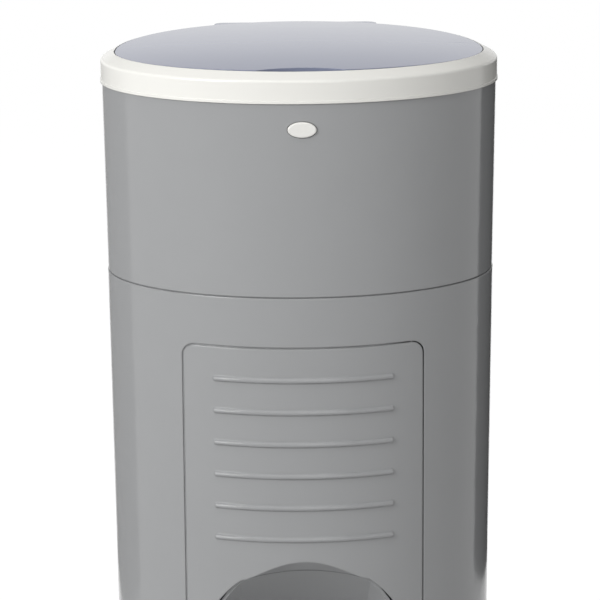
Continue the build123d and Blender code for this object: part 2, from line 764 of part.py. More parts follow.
def make_rod_guides():
    """Brackets on the back wall that steer the rod."""
    group = []
    for z in guide_levels:
        sheet = block(-guide_half_width, guide_half_width, rod_y - rod_foot_radius, far, z, z + guide_height)
        bracket = sheet & body_inner
        group.append(bracket - rod_z(rod_radius + running_fit, 0, far, 0, rod_y))
    return Compound(children=group)


def make_rod_cover():
    """Channel that keeps the bag away from the rod, seated on the back wall and the inner floor."""
    low = inner_floor_z + inner_floor_thickness
    outer = block(-cover_half_width, cover_half_width, cover_front_y, far, low, cover_top_z)
    inner = block(-cover_half_width + cover_wall, cover_half_width - cover_wall, cover_front_y + cover_wall,
                  far, low, cover_top_z)
    return (outer - inner) & casing(body_bottom_z, seam_z, wall + clearance)


# --- hood ---------------------------------------------------------------------------------------
def tray_screw_places():
    """Four screws through the tray's edge into the hood's ledge."""
    half_width = half_width_at(tray_z) - tray_screw_inset
    share = half_width / ring_half_width
    for turn in tray_screw_turns:
        depth = back_depth if turn < 180 else front_depth
        yield (half_width * math.cos(math.radians(turn)),
               widest_y + (depth * half_width_at(tray_z) / ring_half_width - tray_screw_inset)
               * math.sin(math.radians(turn)))


def oval_prism(grow, y_front, y_back):
    oval = Pos(0, button_z) * Ellipse(button_half_width + grow, button_half_height + grow)
    return front_prism(oval, y_front, y_back)


def make_hood_shell():
    shell = hood_outer - hood_inner
    spigot_inset = wall - seam_step + clearance
    shell += egg_ring(seam_half_width, seam_z, seam_z + shoulder_height, wall / 2,
                      spigot_inset + spigot_wall)
    shell += egg_ring(seam_half_width, seam_z - spigot_depth, seam_z + shoulder_height, spigot_inset,
                      spigot_inset + spigot_wall)
    shell -= egg_ring(seam_half_width, seam_z, seam_z + groove_height, -groove_depth, groove_depth)
    tray_ledge = inner_ledge(tray_z, tray_ledge_height, ledge_width)
    flange_ledge = inner_ledge(funnel_flange_z, tray_ledge_height, ledge_width)
    slot = block(-rod_notch_half, rod_notch_half, rod_y - rod_notch_half, hinge_y - hinge_back - 2 * wall,
                 seam_z + shoulder_height, hood_top_z)
    for x, y in tray_screw_places():
        tray_ledge -= rod_z(tray_screw_radius, tray_z - tray_ledge_height, tray_z, x, y)
    shell += (tray_ledge + flange_ledge) - slot
    boss = oval_prism(boss_gap + boss_wall, button_face_y + wall / 2, boss_plate_y + boss_plate_thickness)
    boss -= oval_prism(boss_gap, button_face_y - wall, boss_plate_y)
    shell += boss & hood_outer
    shell -= oval_prism(boss_gap, button_face_y - 2 * wall, boss_plate_y)
    shell -= rod_to_back(button_stem_radius + running_fit, boss_plate_y - wall, boss_plate_y + 2 * wall,
                         0, button_z)
    for ear in hood_ears():
        shell += ear
    return shell - rod_x(hinge_pin_radius + running_fit, -far, far, hinge_y, hinge_z)


def hood_ears():
    """Ears that rise behind the ring and carry the hinge pin, braced on the hood's back."""
    wall_y = widest_y + back_depth * half_width_at(hood_top_z - ear_height) / ring_half_width - wall
    root_y = wall_y - ear_root
    ear_front = hinge_y - hinge_back + clearance * 2
    ear_back = hinge_y - 2 * clearance
    profile = Polyline((root_y, hood_top_z - ear_height), (wall_y, hood_top_z - ear_height),
                       (ear_back, hood_top_z - ear_straight), (ear_back, hinge_z), (ear_front, hinge_z),
                       (ear_front, hood_top_z - clearance), (root_y, hood_top_z - clearance), close=True)
    sheet = make_face(profile) + Pos(hinge_y, hinge_z) * Circle(knuckle_radius)
    for low, high in ((hood_ear_start, hood_ear_end), (-hood_ear_end, -hood_ear_start)):
        yield side_prism(sheet, low, high) - hood_inner


# --- top ring -----------------------------------------------------------------------------------
def make_top_ring():
    """White ring: upright face, bevel up to the lid pocket, ledge for the lid and an inner collar."""
    shoulder_z = ring_bottom_z + ring_face_height
    body = egg_slab(ring_half_width, 0, ring_bottom_z, shoulder_z)
    bevel_top = Pos(0, widest_y, ring_top_z) * egg(ring_half_width, ring_band)
    bevel = loft([Pos(0, widest_y, shoulder_z) * egg(ring_half_width), bevel_top])
    body = fillet((body + bevel).edges().filter_by_position(Axis.Z, shoulder_z - level_nudge,
                                                            shoulder_z + level_nudge), ring_shoulder_radius)
    body += egg_slab(ring_half_width, -ring_lip_proud, ring_bottom_z, ring_bottom_z + ring_lip_height)
    body -= egg_slab(ring_half_width, ring_band, ledge_z, far)
    body -= egg_slab(ring_half_width, ring_band + ring_ledge_width, 0, far)
    hollow_top = ledge_z - ring_ledge_thickness
    body -= egg_ring(ring_half_width, ring_bottom_z, hollow_top, wall + ring_lip_proud,
                     ring_band + ring_ledge_width - wall)
    pocket_z = hinge_z + knuckle_radius + tongue_pocket_gap
    wide = tongue_half_width + lid_gap
    body -= block(-wide, wide, hinge_y - hinge_back - tongue_reach - lid_gap, far, pocket_z, far)
    for low, high in ((ring_knuckle_start, ring_knuckle_end), (-ring_knuckle_end, -ring_knuckle_start)):
        reach = hinge_back + arm_root
        arm = Pos(hinge_y - reach / 2, hinge_z) * Rectangle(reach, 2 * knuckle_radius)
        body += side_prism(arm + Pos(hinge_y, hinge_z) * Circle(knuckle_radius), low, high)
    body -= rod_x(hinge_pin_radius + running_fit, -far, far, hinge_y, hinge_z)
    slot_half = rod_foot_radius + nose_slot_gap
    body -= block(-slot_half, slot_half, rod_y - slot_half, far, 0, pocket_z + wall)
    return body


# --- lid ----------------------------------------------------------------------------------------
def make_lid_panel():
    """Shallow domed lid with a hollow underside, the finger notch and the hinge tongue."""
    panel = egg_slab(ring_half_width, lid_inset, lid_step_z, lid_edge_z + lid_crown + lid_thickness)
    panel += egg_slab(ring_half_width, lid_inset + lid_step, lid_bottom_z, lid_step_z)
    middle_y = widest_y + (back_depth - front_depth) / 2
    panel = panel & (Pos(0, middle_y, lid_edge_z + lid_crown - dome_radius) * Sphere(dome_radius))
    panel -= egg_slab(ring_half_width, lid_inset + lid_thickness, 0, tongue_bottom_z)
    tongue = block(-tongue_half_width, tongue_half_width, hinge_y - hinge_back - tongue_reach, hinge_y,
                   tongue_bottom_z, tongue_top_z)
    tongue = fillet(tongue.edges().filter_by(Axis.Z).group_by(Axis.Y)[-1], tongue_corner)
    panel += tongue
    knuckle_sheet = Pos(hinge_y, hinge_z) * Circle(knuckle_radius)
    knuckle_sheet += knuckle_web()
    for low, high in ((nose_half_width, lid_knuckle_half), (-lid_knuckle_half, -nose_half_width)):
        panel += side_prism(knuckle_sheet, low, high)
    panel += side_prism(nose_sheet(), -nose_half_width, nose_half_width)
    panel -= rod_x(hinge_pin_radius + running_fit, -far, far, hinge_y, hinge_z)
    return panel - notch_cutter()


def knuckle_web():
    """Web from the pin up into the tongue, drawn in Y and Z."""
    middle = Pos(hinge_y - knuckle_radius / 2, (hinge_z + tongue_top_z) / 2)
    return middle * Rectangle(knuckle_radius, tongue_top_z - hinge_z)


def nose_sheet():
    """Arm from the pin to the nose that the pusher lifts, drawn in Y and Z."""
    nose = (hinge_y - nose_back, hinge_z - nose_drop)
    sheet = capsule((hinge_y, hinge_z), nose, nose_arm_radius) + Pos(*nose) * Circle(nose_radius)
    sheet += Pos(hinge_y, hinge_z) * Circle(knuckle_radius)
    return sheet + knuckle_web()


def notch_cutter():
    """Round cutter that takes a crescent out of the lid's front edge."""
    side, front = ring_half_width - lid_inset, front_depth - lid_inset
    edge_y = widest_y - front
    chord_y = widest_y - front * math.sqrt(1 - (notch_half_width / side) ** 2)
    rise = edge_y + notch_depth - chord_y
    radius = (notch_half_width**2 + rise**2) / (2 * rise)
    return rod_z(radius, 0, far, 0, edge_y + notch_depth - radius)


def make_lid_liner():
    """Flat plate that closes the lid's underside, cut short behind the notch."""
    plate = egg_slab(ring_half_width, lid_inset + lid_thickness + clearance,
                     tongue_bottom_z - lid_liner_thickness, tongue_bottom_z)
    return plate - Pos(0, liner_notch_margin) * notch_cutter()


def make_lid_seal():
    """Soft ring on the lid's rim that meets the ledge."""
    low = ledge_z + clearance
    ring = egg_ring(ring_half_width, low, lid_bottom_z, lid_inset + lid_step, lid_inset + lid_thickness)
    return ring - notch_cutter()


def make_hinge_pin():
    end = hood_ear_end + pin_overhang
    pin = rod_x(hinge_pin_radius, -end, end, hinge_y, hinge_z)
    for x in (-end, end - pin_overhang + clearance):
        pin += rod_x(hinge_pin_radius * pin_head_share, x, x + pin_overhang - clearance, hinge_y, hinge_z)
    return pin


# --- latch button -------------------------------------------------------------------------------
def make_latch_button():
    """Slightly domed oval cap with a stem."""
    cap = oval_prism(0, button_face_y - button_proud, button_face_y - button_proud + button_length)
    cap = fillet(cap.edges().group_by(Axis.Y)[0], button_edge_radius)
    stem_end = catch_y - clearance - button_travel
    return cap + rod_to_back(button_stem_radius, button_face_y, stem_end, 0, button_z)


def make_latch_spring():
    """Coil round the button's stem, drawn at its pressed length."""
    start = button_face_y - button_proud + button_length
    length = boss_plate_y - start - button_travel - clearance
    return Pos(0, start, button_z) * Rot(-90, 0, 0) * coil(latch_coil_radius, latch_wire_radius, length,
                                                          latch_turns)


def make_ring_catch():
    """Springy finger on the ring's collar, drawn pressed back clear of the hood's boss."""
    low = button_z - catch_tail + button_half_height
    finger = block(-catch_half_width, catch_half_width, catch_y, catch_y + catch_thickness, low,
                   ledge_z - ring_ledge_thickness)
    nose = block(-catch_half_width, catch_half_width, catch_y - catch_nose, catch_y + catch_thickness,
                 low, low + catch_nose_height)
    return finger + nose


# --- chute, cassette and trap -------------------------------------------------------------------
def round_ring(outer, inner, z_low, z_high, y=chute_y):
    return rod_z(outer, z_low, z_high, 0, y) - rod_z(inner, z_low - level_nudge, z_high + level_nudge, 0, y)


def make_cassette_tray():
    tray = egg_slab(half_width_at(tray_z), wall + clearance, tray_z, tray_z + tray_thickness)
    tray -= rod_z(chute_radius + funnel_wall + boss_gap, 0, far, 0, chute_y)
    tray -= block(-rod_notch_half, rod_notch_half, rod_y - rod_notch_half, far, 0, far)
    for low, high in ((trap_lug_x, trap_lug_x + trap_lug_thickness),
                      (-trap_lug_x - trap_lug_thickness, -trap_lug_x)):
        sheet = Pos(trap_y, trap_z) * Circle(trap_lug_radius)
        sheet += Pos(trap_y, (trap_z + tray_z) / 2) * Rectangle(2 * trap_lug_radius, tray_z - trap_z)
        tray += side_prism(sheet, low, high)
    tray -= rod_x(trap_pin_radius + running_fit, -far, far, trap_y, trap_z)
    for x, y in tray_screw_places():
        tray -= rod_z(tray_screw_radius + running_fit, 0, far, x, y)
    return tray


def make_tray_screws():
    """Pan-head screws through the tray's edge into the hood's ledge."""
    top = tray_z + tray_thickness
    group = []
    for x, y in tray_screw_places():
        head = rod_z(tray_screw_head_radius, top, top + tray_screw_head_height, x, y)
        socket_z = top + tray_screw_head_height / 2
        head -= rod_z(tray_screw_radius / 2, socket_z, top + tray_screw_head_height, x, y)
        shank = rod_z(tray_screw_radius - running_fit, tray_z - tray_ledge_height + clearance, top, x, y)
        group.append(head + shank)
    return Compound(children=group)


def make_film_cassette():
    """Ring magazine for the film: an open channel with the film leaving by the slot round its top."""
    low = tray_z + tray_thickness
    inner_radius = chute_radius + funnel_wall + clearance
    ring = round_ring(cassette_outer_radius, inner_radius, low, low + cassette_height)
    ring -= round_ring(cassette_outer_radius - cassette_wall, inner_radius + cassette_wall + cassette_slot,
                       low + cassette_wall, low + cassette_height - cassette_wall)
    ring -= round_ring(inner_radius + cassette_wall + 2 * cassette_slot, inner_radius + cassette_wall,
                       low + cassette_height - 2 * cassette_wall, low + cassette_height + cassette_wall)
    return ring


def make_film_pack():
    """Pleated film inside the cassette, as one plain ring."""
    low = tray_z + tray_thickness + cassette_wall + clearance
    inner_radius = chute_radius + funnel_wall + 2 * clearance + cassette_wall + cassette_slot
    return round_ring(cassette_outer_radius - cassette_wall - clearance, inner_radius, low,
                      low + cassette_height - 3 * cassette_wall)


def make_film_funnel():
    """Chute: flange on the hood's upper ledge, cone, and a tube down to the trap."""
    flange_top = funnel_flange_z + funnel_flange_thickness
    half_width = half_width_at(funnel_flange_z)
    flange = egg_slab(half_width, wall + boss_gap, funnel_flange_z, flange_top)

    def cone(grow):
        top = Pos(0, widest_y, flange_top) * egg(half_width, flange_width - grow)
        return loft([Pos(0, chute_y, cone_start_z) * Circle(chute_radius + grow), top])

    tube = rod_z(chute_radius + funnel_wall, tube_bottom_z, cone_start_z, 0, chute_y)
    funnel = (tube + cone(funnel_wall)) + flange
    funnel -= cone(0)
    funnel -= rod_z(chute_radius, tube_bottom_z, cone_start_z, 0, chute_y)
    funnel -= block(-rod_notch_half, rod_notch_half, rod_y - rod_notch_half + wall, far, tube_bottom_z, far)
    half_slot = catch_half_width + 2 * wall
    slot_back = catch_y + catch_thickness + wall / 2
    return funnel - block(-half_slot, half_slot, -far, slot_back, tube_bottom_z, far)


def make_trap_flap():
    """Round flap under the chute with two knuckles and the crank that the rod lifts."""
    flap_low = flap_top_z - trap_flap_thickness
    flap = rod_z(flap_radius, flap_low, flap_top_z, 0, chute_y)
    arm_start = trap_y - flap_arm_root
    arm = Polyline((arm_start, flap_top_z), (arm_start, flap_low), (trap_y - trap_knuckle_radius, trap_z),
                   (trap_y, trap_z), (trap_y + trap_knuckle_radius, trap_z), (trap_y, flap_top_z), close=True)
    sheet = make_face(arm) + Pos(trap_y, trap_z) * Circle(trap_knuckle_radius)
    for low, high in ((flap_arm_inner, flap_arm_outer), (-flap_arm_outer, -flap_arm_inner)):
        flap += side_prism(sheet, low, high)
    flap += rod_x(trap_knuckle_radius, -flap_arm_inner, flap_arm_inner, trap_y, trap_z)
    nose = (trap_y + nose_back, trap_z - nose_drop)
    crank = capsule((trap_y, trap_z), nose, nose_arm_radius) + Pos(*nose) * Circle(nose_radius)
    flap += side_prism(crank, -nose_half_width, nose_half_width)
    return flap - rod_x(trap_pin_radius + running_fit, -far, far, trap_y, trap_z)


def make_trap_seal():
    return round_ring(chute_radius + funnel_wall + seal_overlap, chute_radius - seal_overlap, flap_top_z,
                      flap_top_z + seal_height)


def make_trap_pin():
    end = trap_lug_x + trap_lug_thickness + pin_overhang
    return rod_x(trap_pin_radius, -end, end, trap_y, trap_z)


def make_trap_spring():
    """Torsion coil on the trap's pin: its leg runs forward and up to bear under the flap."""
    start = flap_arm_outer + clearance
    length = trap_lug_x - flap_arm_outer - 2 * clearance
    winding = Pos(start, trap_y, trap_z) * Rot(0, 90, 0) * coil(trap_spring_coil, trap_spring_wire, length,
                                                                trap_spring_turns)
    x = start + trap_spring_wire
    tip = Vector(x, trap_y - trap_spring_reach, flap_top_z - trap_flap_thickness - trap_spring_wire)
    root = Vector(x, trap_y, trap_z + trap_spring_coil)
    along = Plane(origin=root, z_dir=tip - root)
    upright = (Align.CENTER, Align.CENTER, Align.MIN)
    return winding + along * Cylinder(trap_spring_wire, (tip - root).length, align=upright)


# --- every piece, one file each -----------------------------------------------------------------
parts = {
    "body_shell": make_body_shell(),
    "door_panel": make_door_panel(),
    "door_catch": make_door_catch(),
    "door_hinge_pins": make_door_pins(),
    "niche_liner": make_niche_liner(),
    "base_plate": make_base_plate(),
    "foot_pads": make_foot_pads(),
    "base_screws": make_base_screws(),
    "inner_floor": make_inner_floor(),
    "pedal": make_pedal(),
    "pedal_tread_pad": make_tread_pad(),
    "pedal_axle": make_pedal_axle(),
    "pedal_spring": make_pedal_spring(),
    "push_rod": make_push_rod(),
    "rod_foot": make_rod_foot(),
    "rod_head": make_rod_head(),
    "trap_lift_arm": make_lift_arm(),
    "rod_guides": make_rod_guides(),
    "rod_cover": make_rod_cover(),
    "hood_shell": make_hood_shell(),
    "top_ring": make_top_ring(),
    "lid_panel": make_lid_panel(),
    "lid_liner": make_lid_liner(),
    "lid_seal": make_lid_seal(),
    "hinge_pin": make_hinge_pin(),
    "latch_button": make_latch_button(),
    "latch_spring": make_latch_spring(),
    "ring_catch": make_ring_catch(),
    "cassette_tray": make_cassette_tray(),
    "tray_screws": make_tray_screws(),
    "film_cassette": make_film_cassette(),
    "film_pack": make_film_pack(),
    "film_funnel": make_film_funnel(),
    "trap_flap": make_trap_flap(),
    "trap_seal": make_trap_seal(),
    "trap_pin": make_trap_pin(),
    "trap_spring": make_trap_spring(),
}
os.makedirs("parts", exist_ok=True)
for name, shape in parts.items():
    export_step(shape, f"parts/{name}.step")
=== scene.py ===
# %% [markdown]
# # A nappy bin, dressed for a photograph
# The bin's solids come from its CAD model, already in metres and in their places. This script gives
# each piece the surface that the real one has, adds the fine pieces that a CAD model leaves plain,
# and sets up the camera and lamps. A piece goes where the CAD puts it. Colours and lamps were matched
# to the photograph, and a few small sizes were settled by trial, as their comments say.

import json
import math
import bmesh
import bpy
from mathutils import Matrix, Vector
from mathutils.bvhtree import BVHTree


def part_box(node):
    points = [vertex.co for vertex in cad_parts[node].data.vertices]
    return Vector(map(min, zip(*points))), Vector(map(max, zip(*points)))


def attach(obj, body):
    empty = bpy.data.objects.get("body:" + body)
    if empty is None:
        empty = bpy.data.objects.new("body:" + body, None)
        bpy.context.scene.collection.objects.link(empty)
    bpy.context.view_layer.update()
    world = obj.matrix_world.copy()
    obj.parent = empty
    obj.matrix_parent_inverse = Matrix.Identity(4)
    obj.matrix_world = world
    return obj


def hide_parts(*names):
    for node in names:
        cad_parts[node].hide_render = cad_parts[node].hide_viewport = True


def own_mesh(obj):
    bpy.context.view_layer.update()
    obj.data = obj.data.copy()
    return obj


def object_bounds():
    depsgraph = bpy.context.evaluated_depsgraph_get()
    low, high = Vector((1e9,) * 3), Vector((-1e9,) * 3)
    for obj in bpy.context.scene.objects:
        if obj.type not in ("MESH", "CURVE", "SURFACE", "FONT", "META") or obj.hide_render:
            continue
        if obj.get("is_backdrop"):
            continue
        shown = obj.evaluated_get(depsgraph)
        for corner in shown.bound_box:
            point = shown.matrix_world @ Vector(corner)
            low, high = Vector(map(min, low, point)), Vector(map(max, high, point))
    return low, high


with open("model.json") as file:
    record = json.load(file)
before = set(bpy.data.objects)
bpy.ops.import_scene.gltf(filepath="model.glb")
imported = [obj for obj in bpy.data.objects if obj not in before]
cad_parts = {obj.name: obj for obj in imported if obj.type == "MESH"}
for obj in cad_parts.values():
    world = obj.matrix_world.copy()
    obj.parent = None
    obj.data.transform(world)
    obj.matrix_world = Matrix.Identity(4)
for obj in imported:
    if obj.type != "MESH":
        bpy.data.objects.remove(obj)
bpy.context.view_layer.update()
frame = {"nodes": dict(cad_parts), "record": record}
nodes = frame["nodes"]

# %% [markdown]
# ## Small helpers
# Colours are easiest to write as the hex values of an image editor. Blender shades in linear light,
# so one function turns one into the other. Lengths of real things are easiest in millimetres.

# %% Colour, length and node helpers
MM = 0.001


def linear(hex_code):
    """An sRGB colour such as "#9C9C9C" as linear red, green, blue and alpha."""
    channels = [int(hex_code[i:i + 2], 16) / 255 for i in (1, 3, 5)]
    return tuple(c / 12.92 if c <= 0.04045 else ((c + 0.055) / 1.055) ** 2.4 for c in channels) + (1.0,)


def add_node(tree, kind, inputs=None, **settings):
    """One node with its settings; an input is given a value, or another node's output to link."""
    node = tree.nodes.new(kind)
    for name, value in settings.items():
        setattr(node, name, value)
    for name, value in (inputs or {}).items():
        if isinstance(value, bpy.types.NodeSocket):
            tree.links.new(value, node.inputs[name])
        else:
            node.inputs[name].default_value = value
    return node


print("mid grey #9C9C9C is", round(linear("#9C9C9C")[0], 3), "in linear light")

# %% [markdown]
# ## The camera
# The photograph was taken with a long lens from a little above the lid, so the bin's sides hardly
# converge. The lens, place and tilt come from matching the outline of the rim and the seam. The
# camera is leaned by a fraction of a degree, as it was in the photograph.

# %% Camera
CAMERA_PLACE = Vector((-0.0414, -2.4255, 1.0910))
CAMERA_AIM = Vector((-0.0005, -0.0258, 0.5249))
CAMERA_LEAN = math.radians(-0.431)
FOCAL_PIXELS = 3149.6
IMAGE_PIXELS = 600

camera_data = bpy.data.cameras.new("product_camera")
camera_data.sensor_width = 36.0
camera_data.lens = FOCAL_PIXELS * camera_data.sensor_width / IMAGE_PIXELS
camera = bpy.data.objects.new("product_camera", camera_data)
forward = (CAMERA_AIM - CAMERA_PLACE).normalized()
level_right = forward.cross(Vector((0, 0, 1))).normalized()
level_up = level_right.cross(forward)
right = level_right * math.cos(CAMERA_LEAN) + level_up * math.sin(CAMERA_LEAN)
up = level_up * math.cos(CAMERA_LEAN) - level_right * math.sin(CAMERA_LEAN)
camera.matrix_world = Matrix.Translation(CAMERA_PLACE) @ Matrix((right, up, -forward)).transposed().to_4x4()
bpy.context.scene.collection.objects.link(camera)
bpy.context.scene.camera = camera
print(f"lens {camera_data.lens:.1f} mm, {(CAMERA_AIM - CAMERA_PLACE).length:.2f} m away")

# %% [markdown]
# ## Floor and light
# The picture shows pure white all round the bin. White comes from what the floor and the world show
# to rays that come straight from the camera or off a glossy surface, never from stronger lamps, so
# the plastic keeps its own grey. Other rays meet plain pale paint and a dim sky. The mix leaves
# some of the paint in sight, so the bin still casts a soft shadow.

# %% Rays that see the white studio
def sees_white(tree):
    """1 for camera, glossy and transmission rays, and 0 for the light that the scene bounces."""
    rays = add_node(tree, "ShaderNodeLightPath").outputs
    direct = add_node(tree, "ShaderNodeMath", {0: rays["Is Camera Ray"], 1: rays["Is Glossy Ray"]},
                      operation="MAXIMUM")
    return add_node(tree, "ShaderNodeMath", {0: direct.outputs[0], 1: rays["Is Transmission Ray"]},
                    operation="MAXIMUM").outputs[0]


def studio_sheet(name, corners, material):
    """One flat sheet of the studio, which is no part of the bin."""
    mesh = bpy.data.meshes.new(name)
    mesh.from_pydata(corners, [], [(0, 1, 2, 3)])
    mesh.materials.append(material)
    sheet = bpy.data.objects.new(name, mesh)
    bpy.context.scene.collection.objects.link(sheet)
    sheet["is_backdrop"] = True
    return sheet


# %% Floor
SHADOW_SHARE = 0.4
floor_paint = bpy.data.materials.new("studio_floor_matt_paint")
floor_paint.use_nodes = True
tree = floor_paint.node_tree
tree.nodes.clear()
paint = add_node(tree, "ShaderNodeBsdfDiffuse", {"Color": linear("#C4C4C4")})
paper = add_node(tree, "ShaderNodeEmission", {"Color": (1, 1, 1, 1), "Strength": 1.5})
share = add_node(tree, "ShaderNodeMath", {0: sees_white(tree), 1: 1 - SHADOW_SHARE}, operation="MULTIPLY")
mixed = add_node(tree, "ShaderNodeMixShader", {0: share.outputs[0], 1: paint.outputs[0],
                                               2: paper.outputs[0]})
add_node(tree, "ShaderNodeOutputMaterial", {"Surface": mixed.outputs[0]})
floor = studio_sheet("studio_floor", [(-4, -4, 0), (4, -4, 0), (4, 4, 0), (-4, 4, 0)], floor_paint)
print("floor", [round(side) for side in floor.dimensions], "m")

# %% [markdown]
# The right edge of the casing is crossed by a dark upright band. A photographer gets that from a black
# card that stands behind the product, just out of the picture: at a flat angle the gloss shows the
# card in place of the white. The card here is low enough that the lid doesn't see it. The camera
# looks past it, and it casts no shadow, which a real one would. A grey card on the other side keeps
# the left edge from burning out.

# %% Cards beside the bin
def card_paint(name, colour):
    """Matt paint of one colour, for a card of the studio."""
    material = bpy.data.materials.new(name)
    material.use_nodes = True
    tree = material.node_tree
    tree.nodes.clear()
    matt = add_node(tree, "ShaderNodeBsdfDiffuse", {"Color": linear(colour)})
    add_node(tree, "ShaderNodeOutputMaterial", {"Surface": matt.outputs[0]})
    return material


CARD_HEIGHT = 0.68
BLACK_CARD_NEAR, BLACK_CARD_FAR = (0.95, 0.42), (0.40, 0.90)
GREY_CARD_NEAR, GREY_CARD_FAR = (-0.95, 0.20), (-0.40, 0.90)


def standing_card(name, near, far, paint):
    """An upright card on the floor between two points, without a shadow, which the camera looks past."""
    card = studio_sheet(name, [(*near, 0), (*far, 0), (*far, CARD_HEIGHT), (*near, CARD_HEIGHT)], paint)
    card.visible_camera = False
    card.visible_shadow = False


standing_card("studio_black_card", BLACK_CARD_NEAR, BLACK_CARD_FAR,
              card_paint("studio_card_black_matt_paint", "#262626"))
standing_card("studio_grey_card", GREY_CARD_NEAR, GREY_CARD_FAR,
              card_paint("studio_card_grey_matt_paint", "#E2E2E2"))
print("two cards", CARD_HEIGHT, "m tall")

# %% [markdown]
# The sky lights the bin from all round. An even sky would flatten it, so this one is dimmer to the
# right and, for the gloss alone, dimmer high up, which shades the front of the lid.

# %% World
SKY_LEFT, SKY_RIGHT = 0.52, 0.28
SKY_TURNS_AT = 0.8
WHITE_HIGH = 0.35
DIMS_FROM, DIMS_TO = 0.16, 0.42
world = bpy.data.worlds.new("studio_world")
bpy.context.scene.world = world
world.use_nodes = True
tree = world.node_tree
tree.nodes.clear()
sky_place = add_node(tree, "ShaderNodeTexCoord").outputs["Generated"]
heading = add_node(tree, "ShaderNodeSeparateXYZ", {0: sky_place})
dim = add_node(tree, "ShaderNodeMapRange", {"Value": heading.outputs["X"],
                                            "From Min": -SKY_TURNS_AT, "From Max": SKY_TURNS_AT,
                                            "To Min": SKY_LEFT, "To Max": SKY_RIGHT})
white = add_node(tree, "ShaderNodeMapRange", {"Value": heading.outputs["Z"],
                                              "From Min": DIMS_FROM, "From Max": DIMS_TO,
                                              "To Min": 1.0, "To Max": WHITE_HIGH})
rays = add_node(tree, "ShaderNodeLightPath").outputs
gloss = add_node(tree, "ShaderNodeMix", {0: rays["Is Glossy Ray"], 2: 1.0, 3: white.outputs[0]},
                 data_type="FLOAT")
level = add_node(tree, "ShaderNodeMix", {0: sees_white(tree), 2: dim.outputs[0], 3: gloss.outputs[0]},
                 data_type="FLOAT")
sky = add_node(tree, "ShaderNodeBackground", {"Color": (1, 1, 1, 1), "Strength": level.outputs[0]})
add_node(tree, "ShaderNodeOutputWorld", {"Surface": sky.outputs[0]})
bpy.context.scene.view_settings.view_transform = "Standard"
print("sky from", SKY_LEFT, "to", SKY_RIGHT)

# %% [markdown]
# Three soft boxes: a large key on the left, because in the photograph the left of every curved face is
# lighter, a weak fill from the front, and one from above that lifts the lid and the rim.

# %% Lamps
LAMPS_LOOK_AT = Vector((0, 0, 0.45))


def soft_box(name, place, size, watts):
    """A square area lamp, with its side in metres, that looks at the middle of the bin."""
    lamp = bpy.data.lights.new(name, "AREA")
    lamp.size = size
    lamp.energy = watts
    holder = bpy.data.objects.new(name, lamp)
    aim = LAMPS_LOOK_AT - Vector(place)
    holder.matrix_world = Matrix.Translation(place) @ aim.to_track_quat("-Z", "Y").to_matrix().to_4x4()
    bpy.context.scene.collection.objects.link(holder)


soft_box("key_box_left", (-1.95, -1.85, 1.8), 1.4, 50.0)
soft_box("fill_box_front", (0.5, -2.9, 1.5), 1.2, 8.0)
soft_box("top_box", (-0.2, -0.9, 2.6), 1.4, 13.0)
print("three lamps")

# %% [markdown]
# ## Moulded plastics
# Nearly all of the bin is injection-moulded plastic. What tells one moulding from another is the
# steel of its mould: a polished mould gives gloss, and a spark-eroded one gives a fine matt grain.
# Real mouldings are never quite even either: the melt flows and cools unevenly, which the eye reads
# as a faint ripple in the reflections. No moulded edge is sharp either, so a Bevel node rounds the
# light on every edge, as the mould's own small radius does. One function makes every plastic from a
# colour, a roughness, a ripple and a grain, each with its true size in millimetres.

# %% A function for moulded plastics
# Nearly all of a noise texture's values lie between these two.
NOISE_LOW, NOISE_HIGH = 0.3, 0.7
RIPPLE_DEPTH_MM = 0.012


def moulded(name, colour, roughness, grain_mm, grain_depth_mm, ripple_mm=30.0, tint=0.02, ior=1.53,
            edge_mm=0.6):
    """A plastic whose grain and flow ripple have real sizes, on Object coordinates."""
    material = bpy.data.materials.new(name)
    material.use_nodes = True
    tree = material.node_tree
    tree.nodes.clear()
    place = add_node(tree, "ShaderNodeTexCoord").outputs["Object"]
    flow = add_node(tree, "ShaderNodeTexNoise", {"Vector": place, "Scale": 1 / (ripple_mm * MM),
                                                 "Detail": 2.0})
    grain = add_node(tree, "ShaderNodeTexNoise", {"Vector": place, "Scale": 1 / (grain_mm * MM),
                                                  "Detail": 3.0})
    base = linear(colour)
    paler = tuple(min(1.0, c * (1 + tint)) for c in base[:3]) + (1.0,)
    darker = tuple(c * (1 - tint) for c in base[:3]) + (1.0,)
    shade = add_node(tree, "ShaderNodeMix", {0: flow.outputs[0], 6: darker, 7: paler}, data_type="RGBA")
    rough = add_node(tree, "ShaderNodeMapRange", {"Value": grain.outputs[0],
                                                  "From Min": NOISE_LOW, "From Max": NOISE_HIGH,
                                                  "To Min": roughness * 0.85, "To Max": roughness * 1.15})
    edge = add_node(tree, "ShaderNodeBevel", {"Radius": edge_mm * MM}, samples=6)
    wave = add_node(tree, "ShaderNodeBump", {"Height": flow.outputs[0], "Strength": 0.5,
                                             "Distance": RIPPLE_DEPTH_MM * MM, "Normal": edge.outputs[0]})
    skin = add_node(tree, "ShaderNodeBump", {"Height": grain.outputs[0], "Strength": 1.0,
                                             "Distance": grain_depth_mm * MM, "Normal": wave.outputs[0]})
    surface = add_node(tree, "ShaderNodeBsdfPrincipled",
                       {"Base Color": shade.outputs[2], "Roughness": rough.outputs[0], "IOR": ior,
                        "Normal": skin.outputs[0]})
    add_node(tree, "ShaderNodeOutputMaterial", {"Surface": surface.outputs[0]})
    return material


finishes = {}
